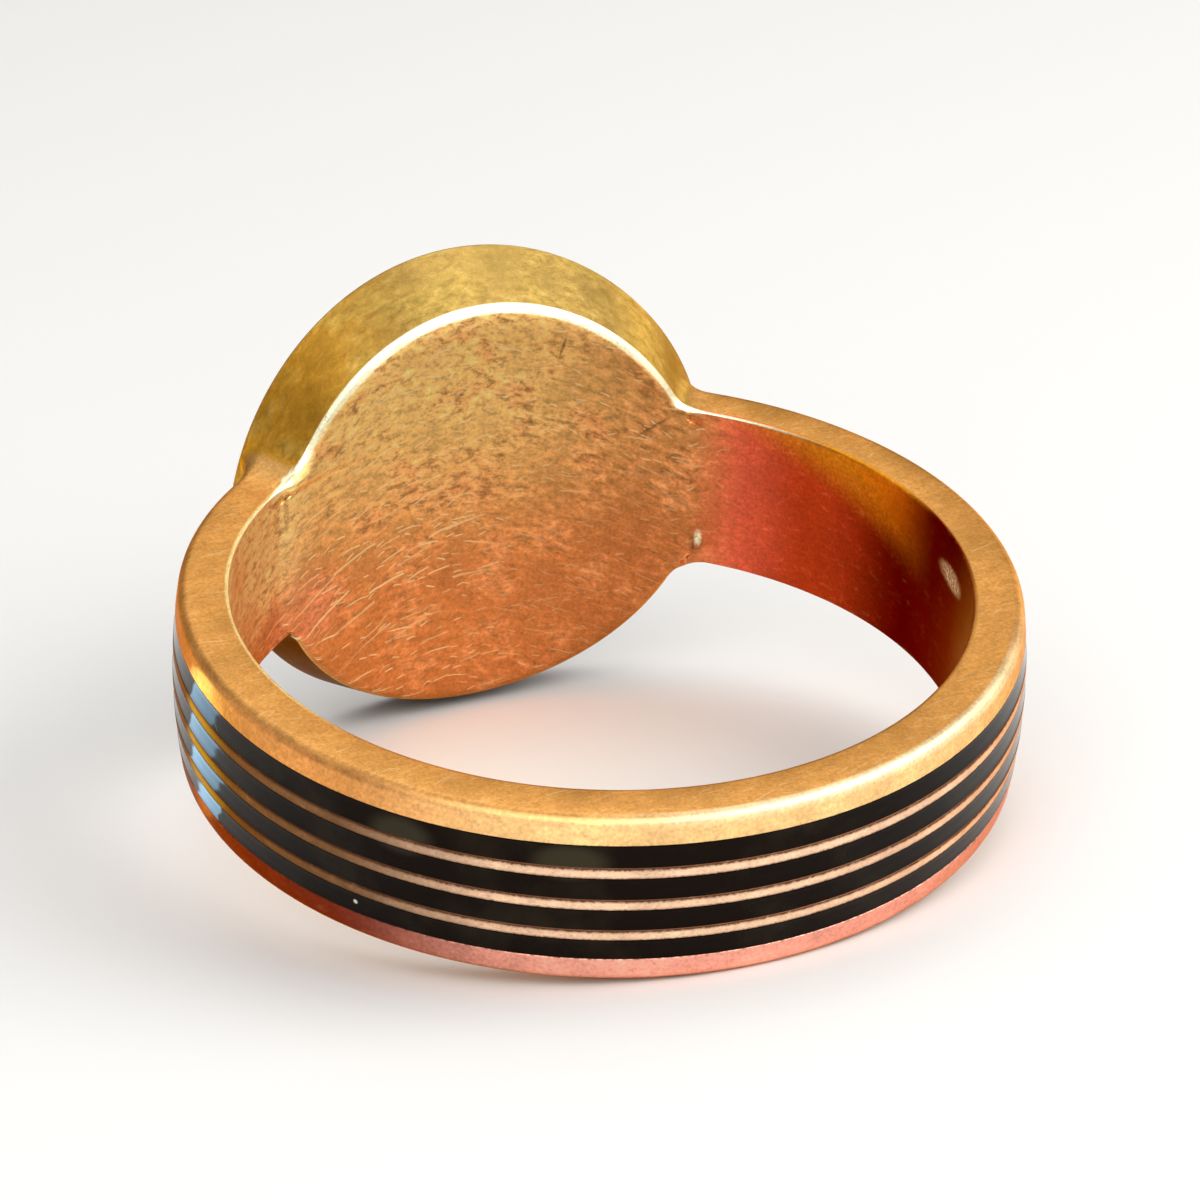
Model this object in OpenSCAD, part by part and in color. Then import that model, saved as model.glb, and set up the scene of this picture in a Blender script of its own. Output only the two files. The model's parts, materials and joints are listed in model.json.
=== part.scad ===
// Mourning ring: a wide gold shank with sunk black enamel stripes, and a round box head soldered to it.
// It is drawn round the axis of the finger hole, which runs along Z, with the head towards +Y.
// Then it is laid down as it rests by itself, on the head's rim and on the shank's back edge.
// All lengths are in millimetres.

/* [Finger hole] */
// Diameter of the finger hole
bore_d = 18; // [15:0.1:22]

/* [Shank] */
// Width of the shank, along the finger
band_w = 4.5; // [4.2:0.1:6]
// Thickness of the shank at its side edges
band_wall = 1.22; // [0.9:0.02:2]
// How far the outer face swells out between its edges
band_crown = 0.18; // [0.06:0.01:0.4]
// Rounding of the outer edges
outer_round = 0.22; // [0.05:0.01:0.3]
// Rounding of the edges of the finger hole
inner_round = 0.08; // [0.03:0.01:0.2]

/* [Enamel stripes] */
// Width of one stripe
enamel_w = 0.53; // [0.3:0.01:0.58]
// Width of the gold line between two stripes
line_w = 0.32; // [0.15:0.01:0.4]
// Depth of the channels that hold the enamel
enamel_depth = 0.3; // [0.2:0.01:0.5]
// How far the enamel lies below the gold
enamel_sink = 0.02; // [0:0.01:0.06]
// Gap between the enamel and its channel
enamel_gap = 0.02; // [0.01:0.005:0.04]
// Plain gold between the head's wall and the ends of the stripes
plain_shoulder = 0.8; // [0.3:0.1:3]

/* [Head] */
// Diameter of the back plate, over its bevel
plate_d = 11.6; // [9:0.1:12.6]
// Diameter of the front rim
rim_d = 13.2; // [12.8:0.1:15]
// Depth of the head from its back plate to its front rim
head_depth = 1.89; // [1.6:0.01:3]
// How far the sides of the head bow back round the finger
head_bow = 1.22; // [0.8:0.02:1.6]
// Thickness of the back plate
plate_t = 0.7; // [0.4:0.05:0.9]
// Thickness of the head's wall
wall_t = 0.5; // [0.35:0.05:0.8]
// Width of the bevel round the back plate, on the plate
bevel_w = 0.3; // [0.1:0.02:0.5]
// Depth of that bevel, on the wall
bevel_depth = 0.22; // [0.1:0.02:0.4]
// Softening of the front rim's outer edge
rim_soft = 0.1; // [0.04:0.02:0.2]

/* [Solder] */
// Fillet radius at the upper left joint, as seen from the back of the ring
solder_left_top = 0.9; // [0.2:0.1:1.2]
// Fillet radius at the upper right joint
solder_right_top = 0.5; // [0.2:0.1:1.2]
// Fillet radius at the lower right joint
solder_right_low = 0.6; // [0.2:0.1:1.2]

/* [Front panel] */
// Gap between the panel and the head
panel_gap = 0.03; // [0.02:0.01:0.06]
// How far the panel's edge lies below the rim
panel_drop = 0.12; // [0.05:0.01:0.2]
// Rise of the panel's dome
panel_dome = 0.5; // [0.2:0.05:0.8]

/* [Hidden] */

gold = [0.83, 0.63, 0.32];
black = [0.04, 0.04, 0.045];

// Steps of the arcs in the sections, and of the turned and lofted shapes
corner_steps = 6;
crown_steps = 12;
turn_steps = 180;
loft_steps = 96;
// How far a cutting shape runs past the surface that it cuts
over = 0.3;

bore_r = bore_d / 2;
edge_r = bore_r + band_wall;

// Outer face of the shank: an arc of radius crown_arc_r round a point crown_c from the ring's axis
crown_arc_r = (pow(band_w / 2, 2) + pow(band_crown, 2)) / (2 * band_crown);
crown_c = edge_r + band_crown - crown_arc_r;
outer_r = edge_r + band_crown;

// Centre of the outer edges' rounding, and the angle at which it runs into the crown
round_z = band_w / 2 - outer_round;
round_r = crown_c + sqrt(pow(crown_arc_r - outer_round, 2) - pow(round_z, 2));
round_angle = asin(round_z / (crown_arc_r - outer_round));

stripe_count = 4;
stripe_pitch = enamel_w + line_w;
channel_r = edge_r - enamel_depth;

// The back plate's side edges lie on the finger hole's wall
plate_r = plate_d / 2;
rim_r = rim_d / 2;
plate_mid = sqrt(pow(bore_r, 2) - pow(plate_r, 2)) + head_bow;
rim_mid = plate_mid + head_depth;
plate_arc_r = arc_radius(plate_r, head_bow);
rim_arc_r = arc_radius(rim_r, head_bow);
rim_edge_r = wall_r(head_depth - rim_soft);

// Angle from the head's middle at which the stripes end
stripe_end = asin(max(rim_r, plate_r) / outer_r) + degrees_along(plain_shoulder, outer_r);

// Line in which the head's wall crosses the side face of the shank
joint_z = band_w / 2;
joint_x = sqrt(pow(plate_r, 2) - pow(joint_z, 2));
joint_far_x = sqrt(pow(rim_r, 2) - pow(joint_z, 2));
joint_y = plate_mid - bow_at(joint_x, plate_r);
joint_far_y = rim_mid - bow_at(joint_far_x, rim_r);
joint_turn = atan2(joint_far_x - joint_x, joint_far_y - joint_y);
joint_lean = asin(joint_z / plate_r);

// The panel fills the head up to its edge, panel_drop below the rim
panel_r = wall_r(head_depth - panel_drop) - wall_t - panel_gap;
panel_mid = rim_mid - panel_drop + panel_dome;
panel_sag = bow_at(panel_r, rim_r) + panel_dome;

// At rest the rim's lowest point and the lower back edge of the shank touch the floor
rest_run = rim_mid - rim_soft + round_r;
rest_rise = rim_edge_r - round_z;
rest_tilt = atan2(rest_rise, rest_run) - asin(outer_round / norm([rest_run, rest_rise]));
rest_z = rim_edge_r * cos(rest_tilt) - (rim_mid - rim_soft) * sin(rest_tilt);
front_reach = rim_mid * cos(rest_tilt) + (rim_edge_r - rim_soft) * sin(rest_tilt);
back_reach = round_r * cos(rest_tilt) + round_z * sin(rest_tilt) + outer_round;
rest_y = (back_reach - front_reach) / 2;

function arc_radius(half_chord, rise) = (pow(half_chord, 2) + pow(rise, 2)) / (2 * rise);
function degrees_along(length, radius) = length / radius * 180 / PI;
function bow_at(x, half_width) = head_bow * pow(x / half_width, 2);
function crown_r(z) = crown_c + sqrt(pow(crown_arc_r, 2) - pow(z, 2));
function wall_r(depth) = plate_r + (rim_r - plate_r) * depth / head_depth;
function stripe_z(i) = (stripe_count + 1 - 2 * i) / 2 * stripe_pitch;

function arc(centre, radius, from, to, steps) =
    [for (i = [0:steps]) let (a = from + (to - from) * i / steps) centre + radius * [cos(a), sin(a)]];

// One row of a loft: the height along Y of its middle, its radius, and how far its sides bow back
function row(depth, radius) = [plate_mid + depth, radius, bow_at(radius, wall_r(depth))];
function flat_row(y, radius) = [y, radius, 0];

// Solid through round rows that bow about the Z axis
module bowed_loft(rows) {
    n = loft_steps;
    last = (len(rows) - 1) * n;
    points = [for (r = rows) for (i = [0:n - 1])
        let (a = 360 * i / n) [r[1] * cos(a), r[0] - r[2] * pow(cos(a), 2), r[1] * sin(a)]];
    sides = [for (k = [0:len(rows) - 2]) for (i = [0:n - 1])
        let (a = k * n + i, b = k * n + (i + 1) % n) each [[a, b, b + n], [a, b + n, a + n]]];
    back = [for (i = [n - 1:-1:0]) i];
    front = [for (i = [0:n - 1]) last + i];
    polyhedron(points, concat([back], sides, [front]));
}

// Cylinder about Z whose surface crosses the head at the given middle
module bow_cylinder(middle, radius) {
    translate([0, middle - radius, 0])
        cylinder(r = radius, h = 2 * rim_d, center = true, $fn = turn_steps);
}

module band() {
    inner_z = band_w / 2 - inner_round;
    crown_step = 2 * round_angle / crown_steps;
    rotate_extrude($fn = turn_steps)
        polygon(concat(
            arc([bore_r + inner_round, inner_z], inner_round, 180, 90, corner_steps),
            arc([round_r, round_z], outer_round, 90, round_angle, corner_steps),
            arc([crown_c, 0], crown_arc_r, round_angle - crown_step, crown_step - round_angle, crown_steps - 2),
            arc([round_r, -round_z], outer_round, -round_angle, -90, corner_steps),
            arc([bore_r + inner_round, -inner_z], inner_round, -90, -180, corner_steps)));
}

module head_shell() {
    bevel_slope = (bevel_w + wall_r(bevel_depth) - plate_r) / bevel_depth;
    back_r = plate_r - bevel_w - over * bevel_slope;
    front_r = rim_edge_r - rim_soft - over;
    difference() {
        intersection() {
            bowed_loft([
                flat_row(plate_mid - 2 * head_bow, back_r),
                row(-over, back_r),
                row(bevel_depth, wall_r(bevel_depth)),
                row(head_depth - rim_soft, rim_edge_r),
                row(head_depth + over, front_r),
                flat_row(rim_mid + 2 * head_bow, front_r)]);
            bow_cylinder(rim_mid, rim_arc_r);
        }
        bow_cylinder(plate_mid, plate_arc_r);
    }
}

// The space inside the head, from the plate's front face out past the rim, less a gap all round
module head_space(gap) {
    inset = wall_t + gap;
    front = head_depth + over;
    difference() {
        bowed_loft([
            flat_row(plate_mid - 2 * head_bow, wall_r(0) - inset),
            row(0, wall_r(0) - inset),
            row(front, wall_r(front) - inset),
            flat_row(rim_mid + 2 * head_bow, wall_r(front) - inset)]);
        bow_cylinder(plate_mid + plate_t + gap, plate_arc_r + plate_t + gap);
    }
}

// Fillet of solder in the corner between the shank's side face and the head's wall
module solder_fillet(side, edge, radius) {
    reach = radius * tan((90 - joint_lean) / 2);
    buried = over + reach * sin(joint_lean);
    length = 2 * head_depth + head_bow;
    intersection() {
        mirror([side < 0 ? 1 : 0, 0, 0])
            mirror([0, 0, edge < 0 ? 1 : 0])
                translate([joint_x, joint_y, joint_z])
                    rotate([0, 0, -joint_turn])
                        difference() {
                            translate([-buried, -length / 2, -over])
                                cube([buried + reach, length, over + reach * cos(joint_lean)]);
                            translate([reach, 0, radius])
                                rotate([90, 0, 0])
                                    cylinder(r = radius, h = 2 * length, center = true, $fn = turn_steps);
                        }
        difference() {
            cylinder(r = edge_r - outer_round / 2, h = 2 * band_w, center = true, $fn = turn_steps);
            cylinder(r = bore_r, h = 3 * band_w, center = true, $fn = turn_steps);
        }
    }
}

// Turns a section about Z, from one end of the stripes round the back to the other, less a gap in mm
module along_stripes(gap) {
    end = stripe_end + degrees_along(gap, edge_r);
    rotate([0, 0, 90 + end])
        rotate_extrude(angle = 360 - 2 * end, $fn = turn_steps)
            children();
}

module channel(i) {
    along_stripes(0)
        translate([channel_r, stripe_z(i) - enamel_w / 2])
            square([enamel_depth + band_crown + over, enamel_w]);
}

module enamel_stripe(i) {
    half = enamel_w / 2 - enamel_gap;
    steps = 4;
    color(black)
        at_rest()
            along_stripes(enamel_gap)
                polygon(concat(
                    [[channel_r + enamel_gap, stripe_z(i) + half], [channel_r + enamel_gap, stripe_z(i) - half]],
                    [for (k = [0:steps]) let (z = stripe_z(i) - half + 2 * half * k / steps)
                        [crown_r(z) - enamel_sink, z]]));
}

// Lays the ring on its side, with the middle of its box over the origin
module at_rest() {
    translate([0, rest_y, rest_z])
        rotate([rest_tilt, 0, 0])
            children();
}

module gold_body() {
    color(gold)
        at_rest()
            difference() {
                union() {
                    band();
                    head_shell();
                    solder_fillet(-1, 1, solder_left_top);
                    solder_fillet(1, 1, solder_right_top);
                    solder_fillet(1, -1, solder_right_low);
                }
                head_space(0);
                for (i = [1:stripe_count])
                    channel(i);
            }
}

module enamel_stripe_1() {
    enamel_stripe(1);
}

module enamel_stripe_2() {
    enamel_stripe(2);
}

module enamel_stripe_3() {
    enamel_stripe(3);
}

module enamel_stripe_4() {
    enamel_stripe(4);
}

// Low dome that follows the bow of the rim
module front_panel() {
    turn_r = arc_radius(panel_r, panel_sag);
    dome_r = arc_radius(panel_r, panel_dome);
    half_angle = asin((panel_r + over) / dome_r);
    color(black)
        at_rest()
            intersection() {
                head_space(panel_gap);
                translate([0, panel_mid - turn_r, 0])
                    rotate_extrude($fn = turn_steps)
                        polygon(concat(
                            [[0, panel_r + over], [0, -panel_r - over]],
                            arc([turn_r - dome_r, 0], dome_r, -half_angle, half_angle, 2 * crown_steps)));
            }
}

gold_body();
enamel_stripe_1();
enamel_stripe_2();
enamel_stripe_3();
enamel_stripe_4();
front_panel();
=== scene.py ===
# Mourning ring lying on its side: a gold shank with sunk black enamel stripes and a round box head.
import json
import math
import bmesh
import bpy
import numpy as np
from mathutils import Matrix, Vector


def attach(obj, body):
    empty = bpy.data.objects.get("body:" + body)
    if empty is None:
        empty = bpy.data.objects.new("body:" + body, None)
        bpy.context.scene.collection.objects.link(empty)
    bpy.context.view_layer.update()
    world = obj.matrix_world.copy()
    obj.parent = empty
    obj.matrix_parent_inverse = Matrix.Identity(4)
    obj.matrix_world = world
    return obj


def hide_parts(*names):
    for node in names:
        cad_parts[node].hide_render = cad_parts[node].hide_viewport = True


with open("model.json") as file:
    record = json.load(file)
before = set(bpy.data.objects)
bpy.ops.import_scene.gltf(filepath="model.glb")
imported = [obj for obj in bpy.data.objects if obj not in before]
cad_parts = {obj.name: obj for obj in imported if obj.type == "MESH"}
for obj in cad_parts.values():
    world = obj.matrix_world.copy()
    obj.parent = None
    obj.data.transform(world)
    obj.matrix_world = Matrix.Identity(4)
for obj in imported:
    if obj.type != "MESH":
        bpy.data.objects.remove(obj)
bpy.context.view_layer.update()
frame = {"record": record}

# The view
# The ring is drawn in millimetres round the axis of its finger hole, with the head towards +Y, and then
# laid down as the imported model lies. The camera looks at its back from above, a little from the left.
mm = 0.001
hole = frame["record"]["mounts"][0]
hole_middle = Vector(hole["pos_m"])
hole_axis = Vector(hole["axis"])
lean = math.atan2(-hole_axis.y, hole_axis.z)
laid_down = Matrix.Translation(hole_middle) @ Matrix.Rotation(lean, 4, "X")
millimetres = Matrix.Scale(mm, 4)

view_height = math.radians(31.35)
view_side = math.radians(23.81)
view_roll = math.radians(1.93)
ring_radius = 10.173 * mm
view_distance = 11.5 * ring_radius
view_middle = Vector((0, 0, 2.185 * mm))
view_right = -0.0044 * ring_radius
view_up = -0.0359 * ring_radius
backward = Vector((
    -math.cos(view_height) * math.sin(view_side),
    -math.cos(view_height) * math.cos(view_side),
    math.sin(view_height)))
level = Vector((math.cos(view_side), -math.sin(view_side), 0))
rightward = math.cos(view_roll) * level + math.sin(view_roll) * backward.cross(level)
upward = backward.cross(rightward)
eye = view_middle + view_distance * backward + view_right * rightward + view_up * upward
pose = Matrix((rightward, upward, backward)).transposed().to_4x4()
pose.translation = eye

camera = bpy.data.objects.new("camera", bpy.data.cameras.new("camera"))
camera.matrix_world = laid_down @ pose
camera.data.sensor_width = 36
camera.data.lens = 144.9
camera.data.clip_start = 0.005
camera.data.clip_end = 10
bpy.context.scene.collection.objects.link(camera)
bpy.context.scene.camera = camera
bpy.context.scene.view_settings.view_transform = "Standard"

# Gold shank
# A flat band of yellow gold, a little swollen outside, bent round and soldered. Four channels are cut in
# its outer face for the enamel, and they stop short of the head.
bore_r = 9.0
band_half = 2.25
band_wall = 1.22
band_crown = 0.18
outer_round = 0.28
inner_round = 0.08
stripe_half = 0.265
stripe_pitch = 0.85
channel_r = 9.92
edge_soft = 0.03
beside_stripe = 0.16
stripe_end = math.radians(43.8)
shank_steps = 200
weld = 0.0004

crown_arc = (band_half ** 2 + band_crown ** 2) / (2 * band_crown)
crown_middle = bore_r + band_wall + band_crown - crown_arc
round_z = band_half - outer_round
round_r = crown_middle + math.sqrt((crown_arc - outer_round) ** 2 - round_z ** 2)
round_angle = math.degrees(math.asin(round_z / (crown_arc - outer_round)))
stripe_heights = [(1.5 - i) * stripe_pitch for i in range(4)]

# the gold's colours hold real wear and also painted light: painted shade, reflections and highlights
gold = bpy.data.materials.new("worn gold with painted light")


def crown_r(z):
    """Radius of the shank's outer face at a height on it"""
    return crown_middle + math.sqrt(crown_arc ** 2 - z ** 2)


def arc(middle, radius, start, end, steps):
    """Points of an arc in a section, from one angle to another in degrees"""
    angles = [math.radians(start + (end - start) * i / steps) for i in range(steps + 1)]
    return [(middle[0] + radius * math.cos(a), middle[1] + radius * math.sin(a), 0) for a in angles]


def add(tree, kind, inputs=None, **settings):
    """Adds a node, with its settings by name and its inputs by name or number"""
    made = tree.nodes.new(kind)
    for name, value in settings.items():
        setattr(made, name, value)
    for key, value in (inputs or {}).items():
        if isinstance(value, bpy.types.NodeSocket):
            tree.links.new(value, made.inputs[key])
        else:
            made.inputs[key].default_value = value
    return made


def calc(tree, operation, first, *others):
    """Works out one value, or several from the left to the right, by an operation's name"""
    result = first
    for other in others or (0.0,):
        result = add(tree, "ShaderNodeMath", {0: result, 1: other}, operation=operation).outputs[0]
    return result


def plus(tree, *values):
    return calc(tree, "ADD", *values)


def minus(tree, *values):
    return calc(tree, "SUBTRACT", *values)


def times(tree, *values):
    return calc(tree, "MULTIPLY", *values)


def ratio(tree, *values):
    return calc(tree, "DIVIDE", *values)


def most(tree, *values):
    return calc(tree, "MAXIMUM", *values)


def sockets(tree, side, names):
    """Gives a tree its named inputs or outputs, each with its type and value"""
    for name, kind, value in names:
        made = tree.interface.new_socket(name, in_out=side, socket_type="NodeSocket" + kind)
        if value is not None:
            made.default_value = value


def capture(tree, geometry, kind, **values):
    """Keeps values on the points of a geometry under their names"""
    made = tree.nodes.new("GeometryNodeCaptureAttribute")
    for name, value in values.items():
        made.capture_items.new(kind, name)
        tree.links.new(value, made.inputs[name])
    tree.links.new(geometry, made.inputs[0])
    return made.outputs


def capture_section(tree, drawn):
    """Makes a drawn section a curve that keeps where its points were"""
    curve = add(tree, "GeometryNodeMeshToCurve", {"Mesh": drawn}).outputs[0]
    return capture(tree, curve, "VECTOR", point=add(tree, "GeometryNodeInputPosition").outputs[0])


def weld_and_dress(tree, skin, place, material):
    """Puts the points of a skin in place, welds them and gives the piece its material"""
    put = add(tree, "GeometryNodeSetPosition", {"Geometry": skin.outputs[0], "Position": place.outputs[0]})
    merged = add(tree, "GeometryNodeMergeByDistance", {"Geometry": put.outputs[0], "Distance": weld})
    real = add(tree, "GeometryNodeRealizeInstances", {0: merged.outputs[0]})
    dressed = add(tree, "GeometryNodeSetMaterial", {"Geometry": real.outputs[0], "Material": material})
    add(tree, "NodeGroupOutput", {0: dressed.outputs[0]})


def turned_section_tree():
    """Turns a section about Z. Its points hold radius, height and how deep a channel is cut there."""
    tree = bpy.data.node_groups.new("turned section", "GeometryNodeTree")
    sockets(tree, "INPUT", [
        ("Section", "Geometry", None), ("Start", "Float", 0.0), ("Sweep", "Float", 6.0),
        ("Steps", "Int", 100), ("Plain steps", "Int", 0), ("Material", "Material", None)])
    sockets(tree, "OUTPUT", [("Piece", "Geometry", None)])
    given = tree.nodes.new("NodeGroupInput").outputs
    closed = calc(tree, "GREATER_THAN", given["Plain steps"], 0.5)
    extra = plus(tree, given["Plain steps"], closed)
    count = plus(tree, given["Steps"], 1.0, extra)
    index = add(tree, "GeometryNodeInputIndex").outputs[0]
    plain = calc(tree, "GREATER_THAN", index, given["Steps"])
    along = times(tree, ratio(tree, index, given["Steps"]), given["Sweep"])
    past = minus(tree, index, given["Steps"], 1.0)
    rest = minus(tree, 2 * math.pi, given["Sweep"])
    share = ratio(tree, past, given["Plain steps"])
    beyond = plus(tree, given["Sweep"], times(tree, rest, share))
    turned = plus(tree, along, times(tree, plain, minus(tree, beyond, along)))
    angle = plus(tree, given["Start"], turned)

    circle = add(tree, "GeometryNodeCurvePrimitiveCircle", {"Resolution": count})
    path = add(tree, "GeometryNodeSetSplineCyclic", {"Geometry": circle.outputs["Curve"], "Cyclic": closed})
    on_path = capture(tree, path.outputs[0], "FLOAT", angle=angle, plain=plain)
    on_section = capture_section(tree, given["Section"])
    skin = add(tree, "GeometryNodeCurveToMesh", {
        "Curve": on_path[0], "Profile Curve": on_section[0], "Fill Caps": True})

    point = add(tree, "ShaderNodeSeparateXYZ", {0: on_section["point"]}).outputs
    cut = times(tree, point[2], minus(tree, 1.0, on_path["plain"]))
    radius = minus(tree, point[0], cut)
    place = add(tree, "ShaderNodeCombineXYZ", {
        0: times(tree, radius, calc(tree, "COSINE", on_path["angle"])),
        1: times(tree, radius, calc(tree, "SINE", on_path["angle"])),
        2: point[1]})
    weld_and_dress(tree, skin, place, given["Material"])
    return tree


def clean(mesh):
    """Clears double points and faces without area, and turns the faces outward"""
    metal = bmesh.new()
    metal.from_mesh(mesh)
    bmesh.ops.remove_doubles(metal, verts=metal.verts, dist=weld)
    bmesh.ops.dissolve_degenerate(metal, edges=metal.edges, dist=weld)
    bmesh.ops.recalc_face_normals(metal, faces=metal.faces)
    metal.to_mesh(mesh)
    metal.free()


def grow(name, tree, points, closed, material, **sizes):
    """Runs a tree on a section drawn through points, and returns the plain mesh as a new object"""
    drawn = bpy.data.meshes.new(name)
    edges = [(i, i + 1) for i in range(len(points) - 1)]
    if closed:
        edges.append((len(points) - 1, 0))
    drawn.from_pydata(points, edges, [])
    source = bpy.data.objects.new(name + " section", drawn)
    bpy.context.scene.collection.objects.link(source)
    modifier = source.modifiers.new("shape", "NODES")
    modifier.node_group = tree
    sizes["Material"] = material
    for item in tree.interface.items_tree:
        if item.name in sizes:
            modifier[item.identifier] = sizes[item.name]
    ready = source.evaluated_get(bpy.context.evaluated_depsgraph_get())
    mesh = bpy.data.meshes.new_from_object(ready)
    bpy.data.objects.remove(source)
    clean(mesh)
    piece = bpy.data.objects.new(name, mesh)
    bpy.context.scene.collection.objects.link(piece)
    return piece


def combine(piece, other, operation):
    """Joins a second solid to a piece, or cuts it away, and leaves a plain mesh"""
    modifier = piece.modifiers.new("join", "BOOLEAN")
    modifier.operation = operation
    modifier.solver = "EXACT"
    modifier.object = other
    ready = piece.evaluated_get(bpy.context.evaluated_depsgraph_get())
    mesh = bpy.data.meshes.new_from_object(ready)
    piece.modifiers.remove(modifier)
    piece.data = mesh
    bpy.data.objects.remove(other)


def lay_down(piece, sharp_from):
    """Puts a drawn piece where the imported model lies, and shades it smooth up to an angle in degrees"""
    piece.data.transform(laid_down @ millimetres)
    piece.data.shade_smooth()
    piece.data.set_sharp_from_angle(angle=math.radians(sharp_from))


turned_section = turned_section_tree()
outer_top = arc((round_r, round_z), outer_round, 90, round_angle, 6)
outer_low = arc((round_r, -round_z), outer_round, -round_angle, -90, 6)
inner_z = band_half - inner_round
inner_top = arc((bore_r + inner_round, inner_z), inner_round, 180, 90, 5)
inner_low = arc((bore_r + inner_round, -inner_z), inner_round, -90, -180, 5)
face = []
for height in stripe_heights:
    top = height + stripe_half
    low = height - stripe_half
    face += [
        (crown_r(top + beside_stripe), top + beside_stripe, 0),
        (crown_r(top + edge_soft), top + edge_soft, 0),
        (crown_r(top), top, edge_soft),
        (crown_r(top), top, crown_r(top) - channel_r),
        (crown_r(low), low, crown_r(low) - channel_r),
        (crown_r(low), low, edge_soft),
        (crown_r(low - edge_soft), low - edge_soft, 0)]
low_rail_top = stripe_heights[-1] - stripe_half - beside_stripe
face.append((crown_r(low_rail_top), low_rail_top, 0))
shank_section = inner_top + outer_top + face + outer_low + inner_low
body = grow(
    "gold_body_looks", turned_section, shank_section, True, gold,
    Start=math.pi / 2 + stripe_end, Sweep=2 * math.pi - 2 * stripe_end,
    **{"Steps": shank_steps, "Plain steps": 70})

# Gold head
# A round box of the same gold: a bowed back plate with a bevelled edge and a low wall that flares to the
# front rim. It is soldered into a gap in the shank, and the solder is filed down to soft fillets.
plate_r = 5.8
rim_r = 6.6
head_depth = 1.89
head_bow = 1.22
plate_t = 0.7
wall_t = 0.5
bevel_w = 0.18
bevel_depth = 0.14
rim_soft = 0.1
plate_drop = 0.08
head_steps = 192
fill_low = 2.1
fill_high = 2.5
flange_depth = 0.2
plate_middle = math.sqrt(bore_r ** 2 - plate_r ** 2) + head_bow
back_r = plate_r - plate_drop
bow = head_bow * (back_r / plate_r) ** 2
flare = (rim_r - back_r) / head_depth


def wall_r(depth):
    """Radius of the head's wall at a depth from its back"""
    return back_r + flare * depth


def full_r(depth):
    """The same where the shank holds the head: the wall there starts from a full sharp corner"""
    return plate_r + (rim_r - plate_r) * depth / head_depth


def bowed_head_tree():
    """Turns a section about the head's axis, bows it round the finger and sets its back a little low.
    Its points hold radius, depth and how far they are pushed out to a full corner inside the shank.
    Deep in the shank that corner runs on as a flange, so that plate and bore meet in a clean line."""
    tree = bpy.data.node_groups.new("bowed head", "GeometryNodeTree")
    sockets(tree, "INPUT", [
        ("Section", "Geometry", None), ("Steps", "Int", 192), ("Middle", "Float", 8.0),
        ("Bow", "Float", 1.0), ("Back radius", "Float", 5.8), ("Flare", "Float", 0.4),
        ("Drop", "Float", 0.0), ("Depth", "Float", 1.0), ("Filled to", "Float", 2.0),
        ("Bevelled from", "Float", 2.5), ("Flange", "Float", 0.5), ("Flange inside", "Float", 1.6),
        ("Flange outside", "Float", 2.0), ("Material", "Material", None)])
    sockets(tree, "OUTPUT", [("Piece", "Geometry", None)])
    given = tree.nodes.new("NodeGroupInput").outputs
    share = ratio(tree, add(tree, "GeometryNodeInputIndex").outputs[0], given["Steps"])
    circle = add(tree, "GeometryNodeCurvePrimitiveCircle", {"Resolution": given["Steps"]})
    on_path = capture(tree, circle.outputs["Curve"], "FLOAT", angle=times(tree, share, 2 * math.pi))
    on_section = capture_section(tree, given["Section"])
    skin = add(tree, "GeometryNodeCurveToMesh", {"Curve": on_path[0], "Profile Curve": on_section[0]})
    point = add(tree, "ShaderNodeSeparateXYZ", {0: on_section["point"]}).outputs
    sine = calc(tree, "SINE", on_path["angle"])
    level = calc(tree, "ABSOLUTE", times(tree, point[0], sine))
    bevelled = add(
        tree, "ShaderNodeMapRange", {
            "Value": level, "From Min": given["Filled to"], "From Max": given["Bevelled from"],
            "To Min": 1.0, "To Max": 0.0},
        interpolation_type="SMOOTHSTEP").outputs[0]
    pushed = times(tree, point[2], bevelled)
    flanged = add(
        tree, "ShaderNodeMapRange", {
            "Value": level, "From Min": given["Flange inside"], "From Max": given["Flange outside"],
            "To Min": given["Flange"], "To Max": 0.0},
        interpolation_type="SMOOTHSTEP").outputs[0]
    is_pushed = calc(tree, "GREATER_THAN", point[2], 0.0)
    at_corner = times(tree, is_pushed, calc(tree, "LESS_THAN", point[1], flange_depth))
    radius = plus(tree, point[0], plus(tree, pushed, times(tree, flanged, at_corner)))
    depth = minus(tree, point[1], pushed)
    across = times(tree, radius, calc(tree, "COSINE", on_path["angle"]))
    low = minus(tree, given["Drop"], times(tree, ratio(tree, depth, given["Depth"]), given["Drop"]))
    height = minus(tree, times(tree, radius, sine), low)
    wall = plus(tree, given["Back radius"], times(tree, given["Flare"], depth))
    bowed = times(tree, given["Bow"], calc(tree, "POWER", ratio(tree, across, wall), 2.0))
    out = minus(tree, plus(tree, given["Middle"], depth), bowed)
    place = add(tree, "ShaderNodeCombineXYZ", {0: across, 1: out, 2: height})
    weld_and_dress(tree, skin, place, given["Material"])
    return tree


def bend(a, corner, b, steps):
    """Points of a soft corner between two points of a section"""
    made = []
    for i in range(steps + 1):
        t = i / steps
        made.append(tuple(
            (1 - t) ** 2 * a[k] + 2 * t * (1 - t) * corner[k] + t ** 2 * b[k] for k in range(2)) + (0,))
    return made


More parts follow.
